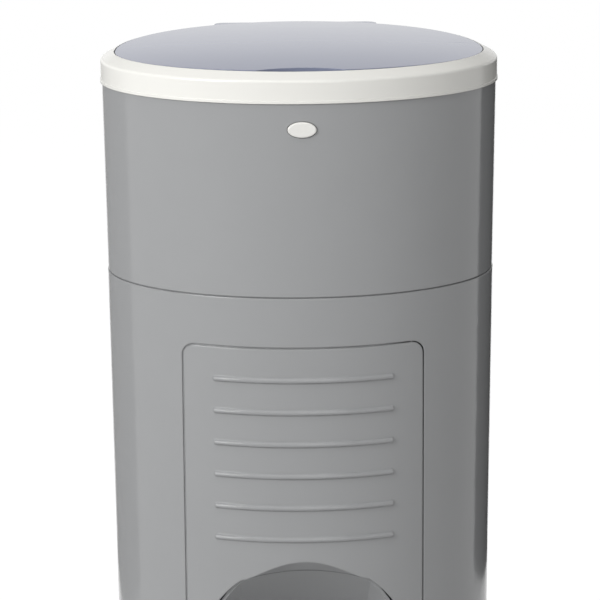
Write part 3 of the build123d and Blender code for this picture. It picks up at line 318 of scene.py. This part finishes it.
# ABS from a polished mould: deep gloss with long, slightly wavy reflections. The casing and the door
# have larger mould radii than the rest, so their edges catch a wider line of light.
finishes["grey_moulding"] = moulded("grey_abs_gloss_moulded", "#969798", 0.13, 1.6, 0.0015, edge_mm=1.8)
finishes["door_grey_moulding"] = moulded("door_grey_abs_gloss_moulded", "#969798", 0.13, 1.6, 0.0015,
                                         edge_mm=1.8)
finishes["hood_grey_moulding"] = moulded("hood_grey_abs_gloss_moulded", "#979899", 0.13, 1.6, 0.0015)
finishes["white_moulding"] = moulded("white_abs_gloss_moulded", "#E6E5E0", 0.22, 1.6, 0.0015, tint=0.01)
finishes["button_moulding"] = moulded("button_white_abs_gloss_moulded", "#E4E3DF", 0.22, 1.2, 0.001,
                                      tint=0.01)
# The lid is the glossiest piece, and a little bluer than the body.
finishes["lid_moulding"] = moulded("lid_grey_abs_high_gloss_moulded", "#7F859B", 0.10, 1.6, 0.001)
print(len(finishes), "gloss plastics")

# %% [markdown]
# Pieces that nobody polishes come from polypropylene or nylon with a grained surface. The grain is
# about 0.4 mm across on the real thing, and is drawn a little coarser here so that it still shows.

# %% Satin plastics
# Polypropylene from a spark-eroded mould: even, soft highlight and a fine leathery grain.
finishes["niche_moulding"] = moulded("niche_grey_pp_satin_moulded", "#9A9B9C", 0.38, 0.8, 0.01, ior=1.49)
finishes["inner_moulding"] = moulded("inner_grey_pp_satin_moulded", "#8E8F91", 0.42, 0.8, 0.012, ior=1.49)
finishes["base_moulding"] = moulded("base_grey_pp_grained_moulded", "#5E6063", 0.52, 0.9, 0.02, ior=1.49)
finishes["dark_moulding"] = moulded("clip_dark_pp_satin_moulded", "#454648", 0.45, 0.7, 0.012, ior=1.49)
finishes["pedal_moulding"] = moulded("pedal_grey_pp_grained_moulded", "#76787A", 0.46, 0.9, 0.02, ior=1.49)
finishes["tray_moulding"] = moulded("tray_grey_pp_satin_moulded", "#9FA0A2", 0.42, 0.8, 0.012, ior=1.49)
finishes["liner_moulding"] = moulded("lid_liner_grey_pp_satin_moulded", "#A4A5AC", 0.40, 0.8, 0.01,
                                     ior=1.49)
finishes["cassette_moulding"] = moulded("cassette_blue_grey_pp_satin_moulded", "#C9D3DA", 0.36, 0.8, 0.01,
                                        ior=1.49)
finishes["funnel_moulding"] = moulded("funnel_white_pp_satin_moulded", "#DADAD6", 0.32, 0.8, 0.008,
                                      ior=1.49)
finishes["flap_moulding"] = moulded("flap_grey_pp_satin_moulded", "#B4B4B2", 0.38, 0.8, 0.01, ior=1.49)
# Unpainted nylon: waxy, creamy white, hardly any gloss.
finishes["rod_fitting_moulding"] = moulded("rod_fitting_natural_nylon_moulded", "#CDCBC1", 0.48, 0.7, 0.008)
finishes["guide_moulding"] = moulded("guide_natural_nylon_moulded", "#C3C1B8", 0.48, 0.7, 0.008)
# Rubbers: dark, dull, with a coarser skin that scatters the highlight.
finishes["foot_rubber"] = moulded("foot_black_tpe_rubber_moulded", "#2B2B2C", 0.72, 0.9, 0.03, ior=1.50)
finishes["tread_rubber"] = moulded("tread_charcoal_tpe_rubber_moulded", "#38393B", 0.66, 0.9, 0.03,
                                   ior=1.50)
finishes["seal_rubber"] = moulded("seal_grey_silicone_rubber_extruded", "#4A4B4E", 0.58, 0.9, 0.015,
                                  ior=1.41)
print(len(finishes), "plastics and rubbers")

# %% [markdown]
# ## Steels
# Pins, rods and springs are drawn through a die, which leaves fine lines along their length. A metal
# has no colour under its reflections, so its look is all in how those lines spread the highlight.

# %% Drawn steel
# A draw line's width is this share of its length.
LINE_STRETCH = 0.04


def drawn_steel(name, colour, roughness, line_mm, along):
    """A bare or plated steel with fine draw lines along one axis (0 for X, 1 for Y, 2 for Z)."""
    material = bpy.data.materials.new(name)
    material.use_nodes = True
    tree = material.node_tree
    tree.nodes.clear()
    place = add_node(tree, "ShaderNodeTexCoord").outputs["Object"]
    stretch = [1.0, 1.0, 1.0]
    stretch[along] = LINE_STRETCH
    turned = add_node(tree, "ShaderNodeMapping", {"Vector": place, "Scale": stretch})
    lines = add_node(tree, "ShaderNodeTexNoise", {"Vector": turned.outputs[0], "Scale": 1 / (line_mm * MM),
                                                  "Detail": 3.0})
    rough = add_node(tree, "ShaderNodeMapRange", {"Value": lines.outputs[0],
                                                  "From Min": NOISE_LOW, "From Max": NOISE_HIGH,
                                                  "To Min": roughness * 0.75, "To Max": roughness * 1.3})
    base = linear(colour)
    darker = tuple(c * 0.9 for c in base[:3]) + (1.0,)
    shade = add_node(tree, "ShaderNodeMix", {0: lines.outputs[0], 6: darker, 7: base}, data_type="RGBA")
    score = add_node(tree, "ShaderNodeBump", {"Height": lines.outputs[0], "Strength": 0.4,
                                              "Distance": 0.01 * MM})
    surface = add_node(tree, "ShaderNodeBsdfPrincipled",
                       {"Base Color": shade.outputs[2], "Metallic": 1.0, "Roughness": rough.outputs[0],
                        "Normal": score.outputs[0]})
    add_node(tree, "ShaderNodeOutputMaterial", {"Surface": surface.outputs[0]})
    return material


# Ground bar for axles: smooth, bright, lines along X.
finishes["axle_steel"] = drawn_steel("axle_ground_steel_bar", "#C2C4C6", 0.24, 0.5, 0)
finishes["rod_steel"] = drawn_steel("rod_drawn_steel_bar", "#BFC1C3", 0.28, 0.5, 2)
finishes["steel_wire"] = drawn_steel("pin_drawn_steel_wire", "#B8BABC", 0.30, 0.4, 2)
# Spring wire is hard-drawn and a shade darker; zinc plating is paler and duller.
finishes["spring_steel"] = drawn_steel("spring_hard_drawn_steel_wire", "#A3A5A8", 0.33, 0.4, 2)
finishes["screw_steel"] = drawn_steel("screw_zinc_plated_steel", "#C6C8C9", 0.36, 0.6, 2)
print(len(finishes), "finishes")

# %% [markdown]
# ## Film
# The refill film is a thin milky polyethylene tube pushed together like an accordion.

# %% Film
FILM_GLOW_SHARE = 0.2
FILM_GLOW_MM = 2.0
film = moulded("film_milky_pe_blown", "#D3E0E8", 0.34, 1.0, 0.01, ripple_mm=8.0, tint=0.05, ior=1.51)
finishes["film"] = film
film_surface = next(n for n in film.node_tree.nodes if n.type == "BSDF_PRINCIPLED")
film_surface.inputs["Subsurface Weight"].default_value = FILM_GLOW_SHARE
film_surface.inputs["Subsurface Radius"].default_value = [FILM_GLOW_MM * MM] * 3
print("film", film.name)

# %% [markdown]
# ## Dressing the CAD pieces
# The record says which slot each piece takes its finish from. The CAD meshes are fine enough as they
# come, so they only get their finishes, each in the piece's one material slot.

# %% Finishes on every CAD node
slot_of = {entry["node"]: entry["material_slot"] for entry in frame["record"]["subparts"]}
for name, piece in nodes.items():
    piece.data.materials.clear()
    piece.data.materials.append(finishes[slot_of[name]])
print("dressed", len(nodes), "CAD pieces")

# %% [markdown]
# ## Pieces that follow a rule
# Some pieces repeat one form, or sweep it along a path: that is what Geometry Nodes are for. Each tree
# below has named inputs for its sizes. A helper object with a few points carries the tree, the
# result is kept as a plain mesh, and the helper goes.

# %% Helpers for Geometry Nodes
def sized_tree(name, sizes):
    """An empty tree with a geometry input and a named input for each size, and its input node."""
    tree = bpy.data.node_groups.new(name, "GeometryNodeTree")
    tree.interface.new_socket("Geometry", in_out="INPUT", socket_type="NodeSocketGeometry")
    for label, value in sizes.items():
        kind = "NodeSocketInt" if isinstance(value, int) else "NodeSocketFloat"
        tree.interface.new_socket(label, in_out="INPUT", socket_type=kind)
    tree.interface.new_socket("Geometry", in_out="OUTPUT", socket_type="NodeSocketGeometry")
    return tree, add_node(tree, "NodeGroupInput").outputs


def close_tree(tree, geometry, finish):
    """Ends a tree: instances become real mesh, which gets its finish."""
    real = add_node(tree, "GeometryNodeRealizeInstances", {"Geometry": geometry})
    dressed = add_node(tree, "GeometryNodeSetMaterial", {"Geometry": real.outputs[0], "Material": finish})
    add_node(tree, "NodeGroupOutput", {"Geometry": dressed.outputs[0]})


def grow(name, tree, sizes, points, edges=(), outward=None):
    """Runs a tree on some points and keeps what it makes as a plain piece at the origin."""
    seed = bpy.data.meshes.new(name + "_seed")
    seed.from_pydata(points, edges, [])
    if outward:
        directions = seed.attributes.new("outward", "FLOAT_VECTOR", "POINT")
        directions.data.foreach_set("vector", [value for direction in outward for value in direction])
    helper = bpy.data.objects.new(name + "_helper", seed)
    bpy.context.scene.collection.objects.link(helper)
    modifier = helper.modifiers.new("grow", "NODES")
    modifier.node_group = tree
    for socket in tree.interface.items_tree:
        if socket.in_out == "INPUT" and socket.name in sizes:
            modifier[socket.identifier] = sizes[socket.name]
    grown = helper.evaluated_get(bpy.context.evaluated_depsgraph_get())
    mesh = bpy.data.meshes.new_from_object(grown)
    bpy.data.objects.remove(helper)
    piece = bpy.data.objects.new(name, mesh)
    bpy.context.scene.collection.objects.link(piece)
    print(name, len(mesh.polygons), "faces")
    return piece


# %% [markdown]
# ## Door edge
# On the real bin the line round the door is a shallow groove, not a black slot: the door has a step
# along its edge that fills most of the gap, a little below the face. The step follows the door's
# outline, so the path is read off the CAD door by rays from the front, and a tree turns it
# into a strip: first out from the edge, then back into the wall.

# %% The path along the door's edge
DOOR_CORNER_MM = 9.0
CORNER_STEPS = 8
SIDE_STEPS = 24
INSIDE_MM = 0.15
door_low, door_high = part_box("door_panel")
door_mesh = bmesh.new()
door_mesh.from_mesh(nodes["door_panel"].data)
door_surface = BVHTree.FromBMesh(door_mesh)
door_mesh.free()
radius = DOOR_CORNER_MM * MM
half = -door_low.x
foot = door_low.z + INSIDE_MM * MM
outline = [(-half, foot + (door_high.z - radius - foot) * step / SIDE_STEPS, 180)
           for step in range(SIDE_STEPS)]
outline += [(-half + radius - radius * math.cos(math.radians(90 * step / CORNER_STEPS)),
             door_high.z - radius + radius * math.sin(math.radians(90 * step / CORNER_STEPS)),
             180 - 90 * step / CORNER_STEPS) for step in range(CORNER_STEPS + 1)]
outline += [(-x, z, 90) for x, z in ((half - radius - (half - radius) * step / SIDE_STEPS, door_high.z)
                                     for step in range(1, SIDE_STEPS + 1))]
outline += [(-x, z, 180 - turn) for x, z, turn in reversed(outline[:-1])]
print(len(outline), "points along the door's edge")

# %% Strip along the door's edge
STRIP_SIZES = {"Width": 0.8 * MM, "Thickness": 1.8 * MM}
STRIP_DEPTH_MM = 0.6
tree, sizes = sized_tree("strip_along_edge", STRIP_SIZES)
outward = add_node(tree, "GeometryNodeInputNamedAttribute", {"Name": "outward"}, data_type="FLOAT_VECTOR")
ribbon = add_node(tree, "GeometryNodeExtrudeMesh", {"Mesh": sizes["Geometry"], "Offset": outward.outputs[0],
                                                    "Offset Scale": sizes["Width"]}, mode="EDGES")
back = add_node(tree, "ShaderNodeCombineXYZ", {"Y": 1.0})
body = add_node(tree, "GeometryNodeExtrudeMesh", {"Mesh": ribbon.outputs["Mesh"], "Offset": back.outputs[0],
                                                  "Offset Scale": sizes["Thickness"], "Individual": False},
                mode="FACES")
front = add_node(tree, "GeometryNodeFlipFaces", {"Mesh": ribbon.outputs["Mesh"]})
both = add_node(tree, "GeometryNodeJoinGeometry")
tree.links.new(front.outputs[0], both.inputs[0])
tree.links.new(body.outputs["Mesh"], both.inputs[0])
closed = add_node(tree, "GeometryNodeMergeByDistance", {"Geometry": both.outputs[0], "Distance": 0.01 * MM})
close_tree(tree, closed.outputs[0], finishes["door_grey_moulding"])

# The step is narrower on the hinge side, and most of all in its upper corner, to clear the opening
# as the door swings. Both shares were settled by trial, until the open door touched nothing new.
HINGE_SIDE_SHARE, HINGE_CORNER_SHARE = 0.6, 0.2


def step_share(x, z):
    """The share of its full width that the step has at one point of the outline."""
    if x < half - 3 * radius:
        return 1.0
    in_corner = x > half - 2 * radius and z > door_high.z - radius
    return HINGE_CORNER_SHARE if in_corner else HINGE_SIDE_SHARE


path, directions = [], []
for x, z, turn in outline:
    out = Vector((math.cos(math.radians(turn)), 0, math.sin(math.radians(turn))))
    start = Vector((x, -1, z)) - out * INSIDE_MM * MM
    face = door_surface.ray_cast(start, Vector((0, 1, 0)))[0]
    path.append((x, face.y + STRIP_DEPTH_MM * MM, z))
    directions.append(out * step_share(x, z))
links = [(number, number + 1) for number in range(len(path) - 1)]
door_edge_step = grow("door_edge_step", tree, STRIP_SIZES, path, links, directions)
strip = bmesh.new()
strip.from_mesh(door_edge_step.data)
bmesh.ops.recalc_face_normals(strip, faces=strip.faces)
open_edges = sum(1 for edge in strip.edges if not edge.is_manifold)
strip.to_mesh(door_edge_step.data)
strip.free()
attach(door_edge_step, "door")
print("open edges:", open_edges)

# %% [markdown]
# ## Screws
# The base plate and the film tray are each held by four small zinc-plated screws with a cross recess.
# They are all one form, so one tree makes the screw and puts it on every point. A head is a short
# cone frustum, the recess is two crossed bars taken out of it, and each screw stops at a turn
# of its own, as screws do.

# %% A tree for screws
SCREW_SIDES = 28
HEAD_TOP_SHARE = 0.8
# The bars reach past the head's edge, so that the recess is open at its ends.
BAR_LENGTH_SHARE = 1.15


def screw_tree(name, seed):
    """Head up on each point, or head down with a turn of half a circle about X."""
    inputs = {"Head radius": 1.0, "Head height": 1.0, "Shank radius": 1.0, "Shank length": 1.0,
              "Recess width": 1.0, "Recess depth": 1.0, "Turn over": 1.0}
    tree, sizes = sized_tree(name, inputs)
    top_radius = add_node(tree, "ShaderNodeMath", {0: sizes["Head radius"], 1: HEAD_TOP_SHARE},
                          operation="MULTIPLY")
    head = add_node(tree, "GeometryNodeMeshCone", {"Vertices": SCREW_SIDES,
                                                   "Radius Top": top_radius.outputs[0],
                                                   "Radius Bottom": sizes["Head radius"],
                                                   "Depth": sizes["Head height"]})
    long_bar = add_node(tree, "ShaderNodeMath", {0: sizes["Head radius"], 1: BAR_LENGTH_SHARE},
                        operation="MULTIPLY")
    deep = add_node(tree, "ShaderNodeMath", {0: sizes["Recess depth"], 1: 2.0}, operation="MULTIPLY")
    bars = add_node(tree, "GeometryNodeMeshBoolean", operation="DIFFERENCE")
    tree.links.new(head.outputs["Mesh"], bars.inputs[0])
    long_side, short_side = long_bar.outputs[0], sizes["Recess width"]
    for first, second in ((long_side, short_side), (short_side, long_side)):
        size = add_node(tree, "ShaderNodeCombineXYZ", {0: first, 1: second, 2: deep.outputs[0]})
        bar = add_node(tree, "GeometryNodeMeshCube", {"Size": size.outputs[0]})
        raised = add_node(tree, "GeometryNodeTransform", {"Geometry": bar.outputs["Mesh"]})
        lift = add_node(tree, "ShaderNodeCombineXYZ", {2: sizes["Head height"]})
        tree.links.new(lift.outputs[0], raised.inputs["Translation"])
        tree.links.new(raised.outputs[0], bars.inputs[1])
    shank = add_node(tree, "GeometryNodeMeshCylinder", {"Vertices": SCREW_SIDES,
                                                        "Radius": sizes["Shank radius"],
                                                        "Depth": sizes["Shank length"]})
    sink = add_node(tree, "ShaderNodeMath", {0: sizes["Shank length"], 1: -0.5}, operation="MULTIPLY")
    below = add_node(tree, "ShaderNodeCombineXYZ", {2: sink.outputs[0]})
    sunk = add_node(tree, "GeometryNodeTransform", {"Geometry": shank.outputs["Mesh"],
                                                    "Translation": below.outputs[0]})
    screw = add_node(tree, "GeometryNodeJoinGeometry")
    tree.links.new(bars.outputs[0], screw.inputs[0])
    tree.links.new(sunk.outputs[0], screw.inputs[0])
    turn = add_node(tree, "FunctionNodeRandomValue", {3: math.tau, 8: seed}, data_type="FLOAT")
    angles = add_node(tree, "ShaderNodeCombineXYZ", {0: sizes["Turn over"], 2: turn.outputs[1]})
    facing = add_node(tree, "FunctionNodeEulerToRotation", {"Euler": angles.outputs[0]})
    placed = add_node(tree, "GeometryNodeInstanceOnPoints", {"Points": sizes["Geometry"],
                                                             "Instance": screw.outputs[0],
                                                             "Rotation": facing.outputs[0]})
    close_tree(tree, placed.outputs[0], finishes["screw_steel"])
    return tree


def solid_boxes(name):
    """Lowest and highest corner of each separate solid of a CAD node, by the quarter it stands in."""
    quarters = {}
    for vertex in nodes[name].data.vertices:
        quarters.setdefault((vertex.co.x > 0, vertex.co.y > 0), []).append(vertex.co)
    return [[Vector(end(co[axis] for co in group) for axis in range(3)) for end in (min, max)]
            for group in quarters.values()]


print("a screw has", SCREW_SIDES, "sides")

# %% Screws under the base and on the tray
HEAD_HEIGHTS_MM = {"base_screws": 1.2, "tray_screws": 1.6}
SHANK_RADII_MM = {"base_screws": 1.95, "tray_screws": 1.55}
RECESS_WIDTH_SHARE = 0.125
RECESS_DEPTH_SHARE = 0.6
for number, name in enumerate(HEAD_HEIGHTS_MM):
    boxes = solid_boxes(name)
    head_height = HEAD_HEIGHTS_MM[name] * MM
    head_down = name == "base_screws"
    low, high = boxes[0]
    sizes = {"Head radius": (high.x - low.x) / 2, "Head height": head_height,
             "Shank radius": SHANK_RADII_MM[name] * MM, "Shank length": high.z - low.z - head_height,
             "Recess width": (high.x - low.x) * RECESS_WIDTH_SHARE,
             "Recess depth": head_height * RECESS_DEPTH_SHARE, "Turn over": math.pi if head_down else 0.0}
    points = [((low.x + high.x) / 2, (low.y + high.y) / 2,
               low.z + head_height if head_down else high.z - head_height) for low, high in boxes]
    screws = grow("cross_" + name, screw_tree(name + "_tree", number + 1), sizes, points)
    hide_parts(name)
    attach(screws, "bin")

# %% [markdown]
# ## Pedal spring
# A compression spring under the pedal's arms brings the tread back up. A spiral curve gives the wire's
# path and a small circle its section. When the pedal goes down, the coil is pressed together.

# %% The coil's sizes
WIRE_RADIUS_MM = 0.8
SPRING_TURNS = 6
TURN_STEPS, WIRE_SIDES = 28, 12
# Each end stays this many wire radii inside the CAD spring's box.
END_ROOM = 1.2
spring_low, spring_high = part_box("pedal_spring")
spring_seat = Vector(((spring_low.x + spring_high.x) / 2, (spring_low.y + spring_high.y) / 2,
                      spring_low.z))
wire = WIRE_RADIUS_MM * MM
SPRING_SIZES = {"Radius": (spring_high.x - spring_low.x) / 2 - wire, "Wire radius": wire,
                "Rise": spring_high.z - spring_low.z - 2 * END_ROOM * wire, "Turns": float(SPRING_TURNS)}
print("spring", round((spring_high.z - spring_low.z) / MM, 2), "mm long")

# %% A tree for the coil
tree, sizes = sized_tree("coil_spring", SPRING_SIZES)
spiral = add_node(tree, "GeometryNodeCurveSpiral", {"Resolution": TURN_STEPS, "Rotations": sizes["Turns"],
                                                    "Start Radius": sizes["Radius"],
                                                    "End Radius": sizes["Radius"],
                                                    "Height": sizes["Rise"]})
section = add_node(tree, "GeometryNodeCurvePrimitiveCircle", {"Resolution": WIRE_SIDES,
                                                              "Radius": sizes["Wire radius"]})
wound = add_node(tree, "GeometryNodeCurveToMesh", {"Curve": spiral.outputs[0],
                                                   "Profile Curve": section.outputs[0], "Fill Caps": True})
smooth = add_node(tree, "GeometryNodeSetShadeSmooth", {0: wound.outputs[0]})
placed = add_node(tree, "GeometryNodeInstanceOnPoints", {"Points": sizes["Geometry"],
                                                         "Instance": smooth.outputs[0]})
close_tree(tree, placed.outputs[0], finishes["spring_steel"])
coil_base = spring_seat + Vector((0, 0, END_ROOM * wire))
pedal_coil = grow("pedal_coil", tree, SPRING_SIZES, [tuple(coil_base)])
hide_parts("pedal_spring")
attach(pedal_coil, "bin")
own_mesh(pedal_coil)

# %% [markdown]
# ## Refill film
# The cassette holds many metres of thin tube, pushed together into a stack of pleats. The CAD has a
# plain ring in its place. Each pleat follows one rule, so a tree bends a flat grid round into a ring
# whose two walls go in and out as they rise. A little noise keeps the pleats from looking turned.

# %% A tree for the pleated film
FILM_SIDES = 96
PLEATS = 14
film_low, film_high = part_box("film_pack")
film_axis = Vector(((film_low.x + film_high.x) / 2, (film_low.y + film_high.y) / 2, 0))
film_inner = min((Vector((v.co.x, v.co.y, 0)) - film_axis).length for v in nodes["film_pack"].data.vertices)
FILM_SIZES = {"Inner radius": film_inner + 0.4 * MM,
              "Outer radius": (film_high.x - film_low.x) / 2 - 0.4 * MM,
              "Base": film_low.z, "Height": film_high.z - film_low.z, "Pleat depth": 3.0 * MM,
              "Unevenness": 0.35 * MM}
tree, sizes = sized_tree("pleated_film", FILM_SIZES)
ROWS = 8 * PLEATS + 1


def maths(operation, first, second=0.0, third=0.0):
    """A Math node of the film's rule."""
    return add_node(tree, "ShaderNodeMath", {0: first, 1: second, 2: third}, operation=operation).outputs[0]


grid = add_node(tree, "GeometryNodeMeshGrid", {"Size X": 1.0, "Size Y": 1.0, "Vertices X": FILM_SIDES + 1,
                                               "Vertices Y": ROWS})
place = add_node(tree, "ShaderNodeSeparateXYZ", {0: add_node(tree, "GeometryNodeInputPosition").outputs[0]})
angle = maths("MULTIPLY", maths("ADD", place.outputs[0], 0.5), math.tau)
round_walls = maths("ADD", place.outputs[1], 0.5)
rise = maths("PINGPONG", maths("MULTIPLY", round_walls, 2.0), 1.0)
fold = maths("PINGPONG", maths("MULTIPLY", rise, 2.0 * PLEATS), 1.0)
dip = maths("MULTIPLY", fold, sizes["Pleat depth"])
is_inner = maths("MULTIPLY", maths("GREATER_THAN", round_walls, 0.5 + 0.2 / ROWS),
                 maths("LESS_THAN", round_walls, 1 - 0.2 / ROWS))
outer_wall = maths("SUBTRACT", sizes["Outer radius"], dip)
inner_wall = maths("ADD", sizes["Inner radius"], dip)
wall = add_node(tree, "ShaderNodeMix", {0: is_inner, 2: outer_wall, 3: inner_wall}, data_type="FLOAT")
ring_place = add_node(tree, "ShaderNodeCombineXYZ", {0: maths("COSINE", angle), 1: maths("SINE", angle),
                                                     2: rise})
noise = add_node(tree, "ShaderNodeTexNoise", {"Vector": ring_place.outputs[0], "Scale": 7.0, "Detail": 2.0})
reach = maths("MULTIPLY_ADD", maths("SUBTRACT", noise.outputs[0], 0.5), sizes["Unevenness"],
              wall.outputs[0])
lift = maths("MULTIPLY_ADD", rise, sizes["Height"], sizes["Base"])
bent = add_node(tree, "ShaderNodeCombineXYZ", {0: maths("MULTIPLY", maths("COSINE", angle), reach),
                                               1: maths("MULTIPLY", maths("SINE", angle), reach), 2: lift})
ring = add_node(tree, "GeometryNodeSetPosition", {"Geometry": grid.outputs["Mesh"],
                                                  "Position": bent.outputs[0]})
joined = add_node(tree, "GeometryNodeMergeByDistance", {"Geometry": ring.outputs[0], "Distance": 0.01 * MM})
placed = add_node(tree, "GeometryNodeInstanceOnPoints", {"Points": sizes["Geometry"],
                                                         "Instance": joined.outputs[0]})
close_tree(tree, placed.outputs[0], finishes["film"])
film_pleats = grow("film_pleats", tree, FILM_SIZES, [tuple(film_axis)])
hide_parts("film_pack")
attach(film_pleats, "bin")

# %% [markdown]
# Bending a grid round can leave its faces turned inwards. Once the seams are merged, the normals
# are worked out again for the whole ring. No open edges means that the ring is closed.

# %% Film, facing outwards
pleats = bmesh.new()
pleats.from_mesh(film_pleats.data)
bmesh.ops.recalc_face_normals(pleats, faces=pleats.faces)
print("open edges:", sum(1 for edge in pleats.edges if not edge.is_manifold),
      "volume", round(pleats.calc_volume(), 6))
pleats.to_mesh(film_pleats.data)
pleats.free()

# %% [markdown]
# ## The bin's sizes
# The box round the dressed bin, with the studio left out, is worked out here. It is meant to stay inside
# the CAD box.

# %% Sizes and finish
low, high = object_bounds()
